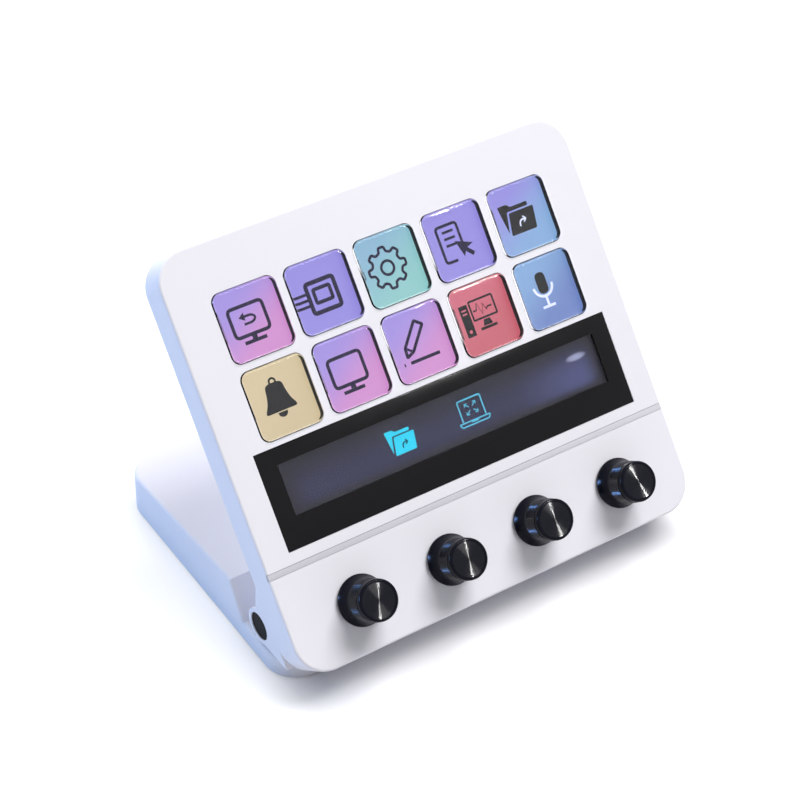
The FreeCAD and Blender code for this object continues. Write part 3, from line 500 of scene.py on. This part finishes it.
def eased(points, radius, closed):
    """An outline with its corners turned into short curves."""
    drawn = []
    for index, point in enumerate(points):
        corner = Vector(point)
        if not radius or (not closed and index in (0, len(points) - 1)):
            drawn.append(corner)
            continue
        before = Vector(points[index - 1]) - corner
        after = Vector(points[(index + 1) % len(points)]) - corner
        start = corner + before.normalized() * min(radius, before.length / 2)
        end = corner + after.normalized() * min(radius, after.length / 2)
        for step in range(6):
            t = step / 5
            drawn.append(start * (1 - t) ** 2 + corner * 2 * t * (1 - t) + end * t**2)
    return drawn


def drawn_curve(name, outlines, closed):
    """A curve object through one or more outlines, and its data."""
    data = bpy.data.curves.new(name, "CURVE")
    for points in outlines:
        spline = data.splines.new("POLY")
        spline.points.add(len(points) - 1)
        for knot, point in zip(spline.points, points):
            knot.co = (point.x * MM, point.y * MM, 0.0, 1.0)
        spline.use_cyclic_u = closed
    sketch = bpy.data.objects.new(name, data)
    bpy.context.scene.collection.objects.link(sketch)
    return data, sketch


def as_mesh(sketch, flatten=1.0):
    """A drawn curve made a mesh, with its thickness scaled."""
    clear_desk()
    sketch.select_set(True)
    bpy.context.view_layer.objects.active = sketch
    bpy.ops.object.convert(target="MESH")
    sketch = bpy.context.active_object
    sketch.data.transform(Matrix.Diagonal((1.0, 1.0, flatten, 1.0)))
    return sketch


def line(points, closed=False, width=0.85, ease=0.0):
    """One pen stroke of a symbol, round in section and pressed flat."""
    data, sketch = drawn_curve("stroke", [eased(points, ease, closed)], closed)
    data.dimensions = "3D"
    data.bevel_depth = width / 2 * MM
    data.bevel_resolution = 2
    data.use_fill_caps = True
    return as_mesh(sketch, STROKE_THICK / width)


def patch(*outlines, ease=0.0):
    """A filled shape of a symbol; inner outlines are holes."""
    data, sketch = drawn_curve("patch", [eased(points, ease, True) for points in outlines], True)
    data.dimensions = "2D"
    data.fill_mode = "BOTH"
    data.extrude = PATCH_THICK / 2 * MM
    return as_mesh(sketch)


def oblong(x, y, width, height):
    left, right, low, high = x - width / 2, x + width / 2, y - height / 2, y + height / 2
    return [(left, low), (right, low), (right, high), (left, high)]


def on_circle(x, y, radius, angles):
    return [(x + radius * math.cos(a), y + radius * math.sin(a)) for a in angles]


def wheel(x, y, radius, count=28):
    return on_circle(x, y, radius, [2 * math.pi * k / count for k in range(count)])


def cup(x, y, radius, count):
    """The lower half of a circle, from its left end to its right."""
    return on_circle(x, y, radius, [math.pi * (1 + k / count) for k in range(count + 1)])


def gear_rim(teeth, outer, root):
    """Outline of a gear wheel with flat-topped teeth."""
    step = 2 * math.pi / teeth
    rim = []
    for tooth in range(teeth):
        for share, radius in ((-0.30, root), (-0.19, outer), (0.19, outer), (0.30, root)):
            angle = (tooth + share) * step
            rim.append((radius * math.cos(angle), radius * math.sin(angle)))
    return rim


def screen_and_stand(y, width, height):
    """A display on its stand, in the middle of a key."""
    low = y - height / 2
    foot = low - 1.9
    return [
        line(oblong(0, y, width, height), True, 1.0, 1.3),
        line([(0, low), (0, foot)], False, 1.6),
        line([(-width * 0.32, foot), (width * 0.32, foot)], False, 1.0),
    ]


def monitor_back():
    return screen_and_stand(0.5, 10.8, 8.2) + [
        line([(-2.2, 1.6), (1.2, 1.6), (2.3, 0.6), (1.2, -0.5), (-1.7, -0.5)], False, 0.7, 0.8),
        patch([(-1.0, 2.8), (-2.8, 1.6), (-1.0, 0.4)]),
    ]


def plain_monitor():
    return screen_and_stand(0.2, 10.6, 8.2)


def nested_screens():
    rays = [line([(-8.4, y), (-3.8, y)], False, 0.8) for y in (1.1, -0.6, -2.3)]
    return rays + [
        line(oblong(1.0, -0.6, 8.9, 8.6), True, 1.25, 0.9),
        line(oblong(1.0, -0.3, 5.2, 3.9), True, 1.05, 0.4),
    ]


def gear():
    return [line(gear_rim(8, 6.1, 4.7), True, 0.8, 0.5), line(wheel(0, 0, 2.0), True, 0.8)]


def page_and_pointer():
    sheet = [(2.6, -1.6), (2.6, 5.4), (-4.4, 5.4), (-4.4, -5.2), (-0.6, -5.2)]
    pointer = [(0.4, 0.2), (5.8, -1.9), (3.6, -2.7), (5.5, -4.6), (4.6, -5.5), (2.7, -3.6), (1.9, -5.0)]
    rules = [line([(-2.7, y), (1.0, y)], False, 0.75) for y in (3.5, 1.5, -0.5)]
    return rules + [line(sheet, False, 0.85, 1.0), patch(pointer)]


def folder():
    lip = [(-5.6, 4.7), (-2.4, 4.7), (-1.4, 3.7), (4.4, 3.7), (4.4, 2.5)]
    back = lip + [(-3.0, 2.5), (-3.7, -0.6), (-4.4, -3.6), (-4.8, -1.0)]
    front = [(-2.5, 2.0), (6.0, 2.0), (5.0, -4.6), (-3.8, -4.6)]
    return [patch(back, ease=0.4), patch(front, ease=0.5)]


def folder_arrow():
    """A short arrow that rises from the left and bends to the right."""
    x, y, size = 1.2, -1.4, 1.35
    left, bend = x - size * 0.9, y + size * 0.35
    stem = [(left, y - size), (left, y - size * 0.2), (x - size * 0.4, bend), (x + size * 0.7, bend)]
    head = [(x + size * 0.2, y + size), (x + size * 0.85, bend), (x + size * 0.2, y - size * 0.3)]
    return [line(stem, False, 0.55, 0.5), line(head, False, 0.55)]


def bell():
    side = [(1.6, 4.6), (2.7, 4.0), (3.1, 1.2), (3.7, -1.0), (4.8, -2.7), (4.9, -3.6)]
    outline = side + [(-x, y) for x, y in reversed(side)]
    clapper = cup(0, -3.9, 1.5, 10)
    return [patch(outline, ease=0.9), patch(clapper), line(wheel(0, 4.9, 0.95, 14), True, 0.6)]


def pencil():
    tip, neck, end = (-3.8, -3.2), [(-3.6, -0.5), (-1.4, -2.2)], [(1.9, 6.0), (4.1, 4.3)]
    return [
        line([tip, neck[0], *end, neck[1]], True, 0.95, 0.3),
        line(neck, False, 0.7),
        line([(-3.4, -5.0), (6.4, -5.0)], False, 0.95),
        line([(-5.6, -5.0), (-5.2, -5.0)], False, 0.95),
    ]


def tower_and_pulse():
    slots = [oblong(-4.6, 3.2, 1.6, 0.45), oblong(-4.6, 2.1, 1.6, 0.45), wheel(-4.6, -3.2, 0.55, 12)]
    peaks = [(0.0, 4.0), (1.0, 0.4), (1.9, 3.4), (2.6, 1.4)]
    pulse = [(-1.8, 2.0), (-0.7, 2.0), *peaks, (3.2, 2.0), (4.6, 2.0)]
    return [
        patch(oblong(-4.6, 0.0, 2.9, 9.4), *slots),
        line(oblong(1.6, 2.2, 8.0, 5.6), True, 0.6, 0.3),
        line(pulse, False, 0.5),
        patch([(0.6, -1.2), (2.6, -1.2), (3.2, -3.0), (0.0, -3.0)]),
        line([(-1.2, -3.6), (4.4, -3.6)], False, 0.8),
    ]


def microphone():
    return [patch(oblong(0, 2.4, 3.4, 6.4), ease=1.7)]


def microphone_stand():
    strokes = cup(0, 1.6, 3.2, 14), [(0, -1.6), (0, -4.6)], [(-2.2, -4.7), (2.2, -4.7)]
    return [line(stroke, False, 0.8) for stroke in strokes]


def symbol(name, strokes, material, x, y, z, size=1.0):
    """Join a symbol's strokes into one piece and set it on its display."""
    clear_desk()
    for stroke in strokes:
        stroke.select_set(True)
    bpy.context.view_layer.objects.active = strokes[0]
    bpy.ops.object.join()
    piece = take(name)
    piece.data.transform(Matrix.Diagonal((size, size, 1.0, 1.0)))
    return settle(piece, x, y, "panel", material, z)


dark_ink = ink("symbol_dark", shade(16, 6, 44))
black_ink = ink("symbol_black", shade(14, 13, 17))
pale_ink = ink("symbol_pale", shade(200, 206, 236))

LILAC, PINK = shade(158, 142, 224), shade(208, 142, 206)
PERIWINKLE = shade(146, 137, 222)
TEAL, TEAL_BLUE = shade(140, 200, 200), shade(134, 178, 208)
SKY = shade(130, 170, 218)
TAN = shade(214, 196, 158)
ROSE, WARM_ROSE = shade(206, 104, 124), shade(198, 92, 108)
BLUE = shade(106, 130, 194)
PICTURES = [
    ("r1c1", LILAC, PINK, monitor_back, dark_ink),
    ("r1c2", PERIWINKLE, PERIWINKLE, nested_screens, dark_ink),
    ("r1c3", TEAL_BLUE, TEAL, gear, dark_ink),
    ("r1c4", PERIWINKLE, PERIWINKLE, page_and_pointer, dark_ink),
    ("r1c5", PERIWINKLE, SKY, folder, black_ink),
    ("r2c1", TAN, dimmer(TAN, 0.94), bell, black_ink),
    ("r2c2", LILAC, PINK, plain_monitor, dark_ink),
    ("r2c3", LILAC, PINK, pencil, dark_ink),
    ("r2c4", ROSE, WARM_ROSE, tower_and_pulse, black_ink),
    ("r2c5", SKY, BLUE, microphone, black_ink),
]


def make_keys():
    cap = make_cap()
    wall = make_ring("wall_shape", -0.05, 0.25, WALL_LOW, WALL_TOP)
    # Painted shade: a black ring lines the narrow gap round each cap, standing in for the shade in that
    # gap.
    gap_ring = make_ring("gap_ring_shape", 0.23, 0.1, GAP_RING_LOW, GAP_RING_TOP)
    tile = finish_mesh(key_slab("tile_shape", PICTURE_PAST, PICTURE_LOW, PICTURE_LOW + PICTURE_THICK))
    drawn_low = PICTURE_LOW + 0.04
    for place, first, second, draw, pen in PICTURES:
        x = (int(place[3]) - 3) * KEY_PITCH
        y = ROW_UP[int(place[1]) - 1]
        key = settle(copy_of(cap, f"clear_cap_{place}"), x, y, f"key_{place}", clear_cap)
        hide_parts(f"key_cap_{place}")
        settle(copy_of(wall, f"dark_wall_{place}"), x, y, f"key_{place}", black_plastic)
        settle(copy_of(gap_ring, f"gap_shade_ring_{place}"), x, y, "panel", black_plastic)
        glow = lit_picture(f"picture_{place}", first, second, x, y)
        settle(copy_of(tile, f"picture_{place}"), x, y, "panel", glow)
        symbol(f"symbol_{place}", draw(), pen, x, y, drawn_low)
    symbol("symbol_arrow_r1c5", folder_arrow(), pale_ink, 2 * KEY_PITCH, ROW_UP[0], drawn_low + 0.02)
    symbol("symbol_stand_r2c5", microphone_stand(), pale_ink, 2 * KEY_PITCH, ROW_UP[1], drawn_low)
    for shape in (cap, wall, gap_ring, tile):
        bpy.data.objects.remove(shape)


make_keys()


# Display strip
def on_outer_rim(place):
    """Whether a place is on the outer edge of the glass's front face."""
    at_side = abs(abs(place.x) - STRIP_WIDTH / 2 * MM) < CLOSE
    at_end = abs(abs(place.y) - STRIP_HEIGHT / 2 * MM) < CLOSE
    return place.z > -CLOSE and (at_side or at_end)


def make_border():
    """Black border of the glass: a plate opened by an inset face that is moved and cut away."""
    clear_desk()
    bpy.ops.mesh.primitive_plane_add(size=1.0, location=(0, 0, -STRIP_THICK * MM))
    piece = take("strip_border")
    piece.scale = (STRIP_WIDTH * MM, STRIP_HEIGHT * MM, 1.0)
    bpy.ops.object.transform_apply(location=True, rotation=True, scale=True)
    bpy.ops.object.mode_set(mode="EDIT")
    bpy.ops.mesh.select_all(action="SELECT")
    side = (STRIP_WIDTH - WINDOW_WIDTH) / 2
    bpy.ops.mesh.inset(thickness=side * MM)
    bpy.ops.transform.resize(value=(1.0, WINDOW_HEIGHT / (STRIP_HEIGHT - 2 * side), 1.0))
    bpy.ops.transform.translate(value=(0, (WINDOW_UP - STRIP_UP) * MM, 0))
    bpy.ops.mesh.delete(type="FACE")
    bpy.ops.mesh.select_all(action="SELECT")
    bpy.ops.mesh.extrude_region_move(TRANSFORM_OT_translate={"value": (0, 0, STRIP_THICK * MM)})
    bpy.ops.mesh.select_all(action="SELECT")
    bpy.ops.mesh.normals_make_consistent(inside=False)
    choose(piece, lambda edge: on_outer_rim(middle(piece, edge)), "EDGE")
    bpy.ops.mesh.bevel(offset=0.2 * MM, segments=3, affect="EDGES")
    return finish_mesh(piece)


def laptop():
    """A portable computer with four arrows that spread from the middle of its screen."""
    spread = []
    for sx in (-1, 1):
        for sy in (-1, 1):
            spread.append(line([(0.7 * sx, 1.5 + 0.6 * sy), (2.0 * sx, 1.5 + 1.7 * sy)], False, 0.35))
            x, y = 2.2 * sx, 1.5 + 1.9 * sy
            spread.append(line([(x - 1.1 * sx, y), (x, y), (x, y - 1.0 * sy)], False, 0.35))
    return spread + [
        line([(-4.6, -2.2), (-4.6, 5.0), (4.6, 5.0), (4.6, -2.2)], False, 0.5, 0.7),
        line([(-6.2, -2.6), (6.2, -2.6), (5.4, -3.9), (-5.4, -3.9)], True, 0.45, 0.4),
        line([(-1.4, -3.0), (1.4, -3.0)], False, 0.5),
    ]


def make_strip():
    border = settle(make_border(), 0, STRIP_UP, "panel", finishes["black_glass"])
    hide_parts("strip_glass")
    pane = rounded_slab("strip_pane", WINDOW_WIDTH, WINDOW_HEIGHT, -STRIP_THICK + 0.1, -0.05, 0)
    settle(finish_mesh(pane), 0, WINDOW_UP, "panel", pane_glass())
    low, high = SCREEN_TOP + 0.01, SCREEN_TOP + 0.1
    picture = rounded_slab("strip_picture", WINDOW_WIDTH + 3, WINDOW_HEIGHT + 3, low, high, 1.0)
    settle(finish_mesh(picture), 0, WINDOW_UP, "panel", strip_glow())
    bright = ink("symbol_cyan", shade(44, 182, 206))
    faint = ink("symbol_teal", shade(78, 166, 192))
    deep = ink("symbol_deep", shade(24, 70, 92))
    symbol("strip_folder", folder(), bright, -15.6, 51.8, high + 0.02, 0.8)
    symbol("strip_folder_arrow", folder_arrow(), deep, -15.6, 51.8, high + 0.06, 0.8)
    symbol("strip_laptop", laptop(), faint, 9.0, 51.3, high + 0.02, 0.86)


make_strip()


def make_groove_shade():
    """Soft grey strip that fills the floor of the groove across the panel: painted shade for the dim floor
    of the groove.
    """
    groove_shade = moulded("groove_shade_grey", shade(217, 216, 223), 0.6, shine=0.04)
    piece = rounded_slab("groove_shade_strip", GROOVE_LENGTH, GROOVE_WIDTH, GROOVE_LOW, GROOVE_TOP, 0)
    soften_top(piece, GROOVE_TOP, 0.15, 2)
    settle(finish_mesh(piece), 0, GROOVE_UP, "panel", groove_shade)


make_groove_shade()


# Knobs
GRIP_LOW, GRIP_TOP, GRIP_RADIUS = 5.3, 10.3, 6.0
FACE_RADIUS, FACE_WAVES, FACE_WAVE = 5.2, 22, 0.048
FACE_EDGE, FACE_FOOT, FACE_LOW = 5.18, 12.31, 12.45
TURNED_SIDES = 96
KNURL_SIDES, KNURL_ROWS, KNURL_POINT = 52, 7, 0.26
SKIRT = [(3.3, 0.95), (7.25, 0.7), (7.45, 0.8), (7.5, 1.0), (7.5, 1.5), (7.42, 1.62), (6.9, 2.5)]
NECK = [(6.45, 3.5), (6.15, 4.4), (6.0, 5.0), (6.02, 5.12), (5.9, 5.2), (5.9, 10.4), (6.02, 10.46)]
CROWN = [(5.72, 10.6), (5.72, 10.85), (5.98, 10.92), (6.05, 11.0), (6.05, 12.12), (6.0, 12.25)]
END = [(5.68, 12.56), (5.58, 12.6), (5.26, 12.6), (5.2, 12.56), (5.2, 12.3), (1.0, 12.3)]


def lathe(name, profile):
    """Turn a profile of radius and height: one ring, drawn out, resized at each step, and closed."""
    clear_desk()
    radius, height = profile[0]
    bpy.ops.mesh.primitive_circle_add(
        vertices=TURNED_SIDES, radius=radius * MM, fill_type="NGON", location=(0, 0, height * MM)
    )
    piece = take(name)
    bpy.ops.object.transform_apply(location=True, rotation=True, scale=True)
    bpy.ops.object.mode_set(mode="EDIT")
    bpy.ops.mesh.select_all(action="SELECT")
    for (last, low), (wide, high) in zip(profile, profile[1:]):
        bpy.ops.mesh.extrude_region_move(TRANSFORM_OT_translate={"value": (0, 0, (high - low) * MM)})
        bpy.ops.transform.resize(value=(wide / last, wide / last, 1.0), center_override=(0, 0, 0))
    bpy.ops.mesh.merge(type="CENTER")
    return finish_mesh(piece, 30.0)


def make_face():
    """End face of a knob, with the fine rounded grooves that the lathe tool leaves, out from the middle."""
    rings = [(1.0, FACE_FOOT), (FACE_EDGE, FACE_FOOT), (FACE_EDGE, FACE_LOW)]
    step = FACE_RADIUS / FACE_WAVES / 4
    for index in range(1, FACE_WAVES * 4):
        rise = (0.0, 0.7, 1.0, 0.7)[index % 4]
        rings.append((FACE_RADIUS - step * index, FACE_LOW + FACE_WAVE * rise))
    return lathe("face_shape", rings)


def make_knurl():
    """Knurled grip: rings of squares turned into diamonds, each raised to a point."""
    clear_desk()
    bpy.ops.mesh.primitive_circle_add(
        vertices=KNURL_SIDES, radius=GRIP_RADIUS * MM, fill_type="NOTHING", location=(0, 0, GRIP_LOW * MM)
    )
    piece = take("knurl_shape")
    bpy.ops.object.transform_apply(location=True, rotation=True, scale=True)
    bpy.ops.object.mode_set(mode="EDIT")
    bpy.ops.mesh.select_all(action="SELECT")
    step = (GRIP_TOP - GRIP_LOW) * MM / KNURL_ROWS
    for _ in range(KNURL_ROWS):
        bpy.ops.mesh.extrude_region_move(TRANSFORM_OT_translate={"value": (0, 0, step)})
    bpy.ops.mesh.select_all(action="SELECT")
    bpy.ops.mesh.normals_make_consistent(inside=False)
    lattice = KNURL_SIDES * (KNURL_ROWS + 1)
    bpy.ops.mesh.poke(offset=0.0)
    choose(piece, lambda edge: max(edge.vertices) < lattice, "EDGE")
    bpy.ops.mesh.dissolve_edges(use_verts=False)
    choose(piece, lambda face: len(face.vertices) == 4)
    bpy.ops.mesh.poke(offset=KNURL_POINT * MM)
    bpy.ops.object.mode_set(mode="OBJECT")
    return piece


def make_knobs():
    knob, face, knurl = lathe("knob_shape", SKIRT + NECK + CROWN + END), make_face(), make_knurl()
    turned = anodised("turned_anodised", 0.14, 0.08)
    spun = anodised("spun_anodised", 0.14, 0.17)
    rough = anodised("knurl_anodised", 0.2, 0.25)
    for index in range(4):
        x = (index - 1.5) * KNOB_PITCH
        dial = f"dial_{index + 1}"
        body = settle(copy_of(knob, f"turned_knob_{index + 1}"), x, KNOB_UP, dial, turned)
        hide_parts(f"knob_{index + 1}")
        settle(copy_of(face, f"spun_face_{index + 1}"), x, KNOB_UP, dial, spun)
        settle(copy_of(knurl, f"knurled_grip_{index + 1}"), x, KNOB_UP, dial, rough)
    for shape in (knob, face, knurl):
        bpy.data.objects.remove(shape)


make_knobs()


# Studio
def lamp(name, place, aim, power, colour, size):
    light = bpy.data.lights.new(name, "AREA")
    light.energy = power
    light.color = colour
    light.shape = "RECTANGLE"
    light.size, light.size_y = size
    holder = bpy.data.objects.new(name, light)
    bpy.context.scene.collection.objects.link(holder)
    holder.location = place
    holder.rotation_euler = (Vector(aim) - Vector(place)).to_track_quat("-Z", "Y").to_euler()
    return holder


def floor_paper():
    """Pale paper that takes the shadow; clear of the object's front the camera sees it lifted to white, and
    in a patch in front of and under the object the lift drops almost to nothing, a painted shade.
    """
    finish = Finish("floor_paper", Roughness=0.9, Specular_IOR_Level=0.1)
    clouds = finish.grain(4.0) * 0.3
    finish.vary(Base_Color=finish.blend(clouds, shade(214, 214, 217), shade(208, 208, 212)))
    across, along = finish.flat(finish.here())
    # Painted shade: the patch in front of and under the object gets almost no lift, so the floor there
    # reads darker.
    wide = finish.between(across, (-0.076, -0.056), (0.062, 0.080))
    deep = finish.between(along, (-0.062, -0.040), (-0.025, -0.005))
    lift_with_painted_shade = finish.blend(wide * deep, (0.5, 0.5, 0.5, 1.0), (0.02, 0.02, 0.02, 1.0))
    finish.vary(Emission_Color=lift_with_painted_shade, Emission_Strength=finish.looked_at())
    return finish.material


def studio():
    """Paper floor, white surround and five lamps; the two small ones only glint in gloss."""
    clear_desk()
    bpy.ops.mesh.primitive_plane_add(size=8.0, location=(0, 0, 0))
    floor = take("floor")
    floor.data.materials.append(floor_paper())
    backdrop = Finish("studio", bpy.data.worlds, "Background", Color=(0.97, 0.98, 1.0, 1.0))
    backdrop.vary(Strength=backdrop.looked_at() * (1.0 - AMBIENT) + AMBIENT)
    bpy.context.scene.world = backdrop.material
    warm, cool, panel_low = (1.0, 0.99, 0.98), (0.2, 0.42, 1.0), (0.0, -0.03, 0.02)
    lamp("overhead", (1.0, -0.35, 2.8), (0.0, 0.0, 0.0), 77.0, (1.0, 0.99, 0.985), (1.6, 1.6))
    lamp("back_fill", (0.0, 0.95, 0.85), (0.0, 0.03, 0.0), 6.5, (1.0, 0.98, 0.975), (0.8, 0.8))
    lamp("cool_side", (-0.68, 0.40, 0.10), (0.0, 0.0, 0.04), 2.1, (0.05, 0.4, 1.0), (0.45, 0.14))
    spark = lamp("knob_spark", (0.15, -0.125, 0.29), panel_low, 2.8, warm, (0.035, 0.035))
    glint = lamp("cool_glint", (-0.713, 0.141, 0.34), panel_low, 7.0, cool, (0.2, 0.14))
    spark.visible_diffuse = glint.visible_diffuse = False


studio()

# The camera's own axes and its place, as fitted to the photograph's view
SIDEWAYS = (0.83436791, -0.55089051, 0.01870371)
UPWARDS = (0.34702134, 0.55135008, 0.758676)
AHEAD = (0.42825971, 0.62652433, -0.65119958)
STANDS = (-0.29217786, -0.42068155, 0.48722996)
lens = bpy.data.cameras.new("product_view")
lens.lens = 103.267
lens.sensor_width = 36.0
lens.clip_start = 0.01
camera = bpy.data.objects.new("product_view", lens)
bpy.context.scene.collection.objects.link(camera)
rows = [(SIDEWAYS[i], UPWARDS[i], -AHEAD[i], STANDS[i]) for i in range(3)]
camera.matrix_world = Matrix(rows + [(0, 0, 0, 1)])
bpy.context.scene.camera = camera
bpy.context.scene.view_settings.view_transform = "Standard"
